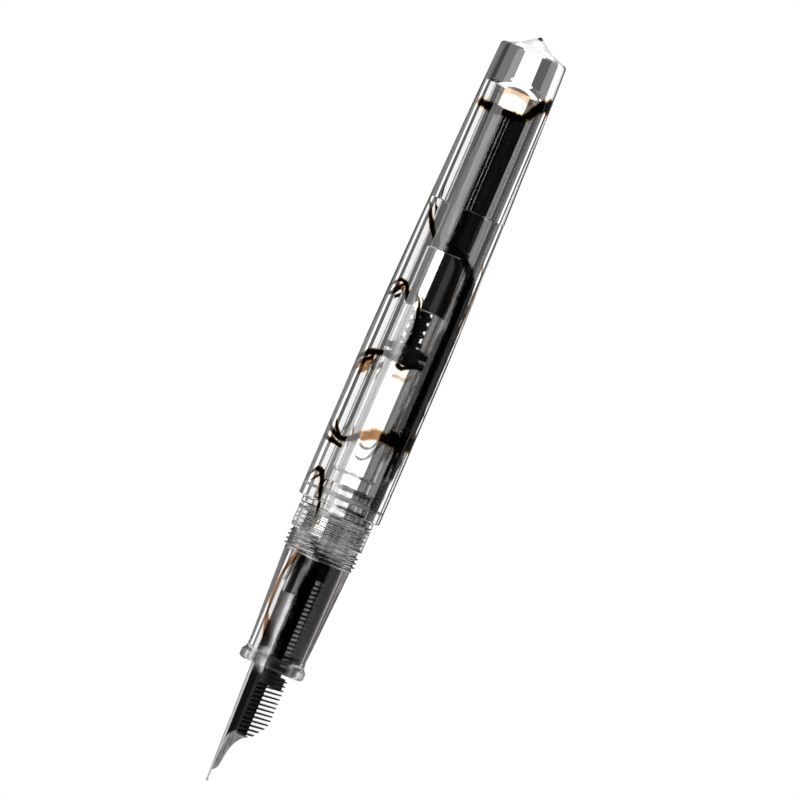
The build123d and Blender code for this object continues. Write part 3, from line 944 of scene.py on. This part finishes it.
def studio_panel(name, start, end, low, high, brightness):
    """An upright curved panel round the pen, between two bearings in degrees left of the camera's side."""
    steps = max(2, int(abs(end - start) / 6))
    mesh = bpy.data.meshes.new(name)
    corners, faces = [], []
    for i in range(steps + 1):
        a = radians(start + (end - start) * i / steps)
        x, y = -sin(a) * STUDIO_R, -cos(a) * STUDIO_R
        corners += [(x, y, low), (x, y, high)]
    for i in range(steps):
        faces.append((2 * i, 2 * i + 2, 2 * i + 3, 2 * i + 1))
    mesh.from_pydata(corners, [], faces)
    panel = bpy.data.objects.new(name, mesh)
    bpy.context.collection.objects.link(panel)
    light_up(panel, brightness)


def studio_lid(name, height, brightness):
    """A level disc over the panels."""
    bpy.ops.mesh.primitive_circle_add(
        vertices=64, radius=STUDIO_R, fill_type="NGON", location=(0, 0, height)
    )
    lid = bpy.context.object
    lid.name = name
    light_up(lid, brightness)


def make_lights():
    """A softbox in front on the left, a narrow white backdrop, and dark or dim panels between.

    The panels between draw the dark and pale lines along the clear edges. Above the split the
    backdrop is narrower, as the barrel is.
    """
    softbox_foot, split = 0.021, 0.078
    # Name, bearings it starts and ends at, foot, top and brightness.
    panels = [
        ("softbox", 20, 57, softbox_foot, CEILING, 3.6),
        ("under_softbox", 20, 57, PANEL_FOOT, softbox_foot, 0.04),
        ("dark_right", 253, 308, softbox_foot, CEILING, 0.012),
        ("low_right", 253, 308, PANEL_FOOT, softbox_foot, 0.7),
        ("left_wing", 144, 167, PANEL_FOOT, split, 0.26),
        ("backdrop", 167, 193, PANEL_FOOT, split, 1.35),
        ("right_wing", 193, 214, PANEL_FOOT, split, 0.18),
        ("left_wing_tail", 144, 170.5, split, CEILING, 0.12),
        ("backdrop_tail", 170.5, 189.5, split, CEILING, 1.35),
        ("right_wing_tail", 189.5, 214, split, CEILING, 0.19),
        ("dark_left", 57, 114, PANEL_FOOT, CEILING, 0.012),
        ("left_strip", 114, 144, PANEL_FOOT, CEILING, 0.95),
        ("right_gap", 214, 246, PANEL_FOOT, CEILING, 0.06),
        ("right_strip", 246, 253, PANEL_FOOT, CEILING, 0.35),
        ("front_right", 308, 340, PANEL_FOOT, CEILING, 0.05),
        ("front", 340, 380, PANEL_FOOT, CEILING, 0.01),
    ]
    for panel in panels:
        studio_panel(*panel)
    studio_lid("overhead", CEILING, 0.25)


# ---------------------------------------------------------------- putting it together


def assign(node, material):
    """Gives a CAD mesh that stays in view its material."""
    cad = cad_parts[node]
    cad.data.materials.clear()
    cad.data.materials.append(material)


make_camera()
make_world()
make_stage()
make_lights()
make_barrel()
make_section()
make_oring()
make_tank()
make_ferrule()
knob_black = black_plastic("knob_black", rough=(0.15, 0.22), grain=1.5, strength=0.01)
make_collar(knob_black)
make_knob(knob_black)
make_seal(black_plastic("seal_black", rough=(0.3, 0.5), grain=8.0, strength=0.3))
assign("piston_rod", black_plastic("rod_black", rough=(0.2, 0.35)))
assign("converter_guide", black_plastic("guide_black", rough=(0.3, 0.45)))
# Below 9.25 mm the feed's beak gets a painted sheen, a greyer base colour.
feed_black = black_plastic(
    "feed_black", rough=(0.3, 0.5), grain=5.0, strength=0.3, painted_sheen=(9.25, 0.22)
)
assign("feed", feed_black)
nib_steel = polished_metal("nib_steel", (0.55, 0.55, 0.56), rough=(0.03, 0.1), satin=(19.0, 0.42))
make_nib(nib_steel)
make_smoke()
assign("nib_tipping", polished_metal("tipping", (0.7, 0.7, 0.7), rough=(0.2, 0.35)))

scene = bpy.context.scene
scene.view_settings.view_transform = "Standard"
bounces = 40  # enough for light to cross every clear wall and back
scene.cycles.max_bounces = bounces
scene.cycles.transmission_bounces = bounces
scene.cycles.transparent_max_bounces = bounces
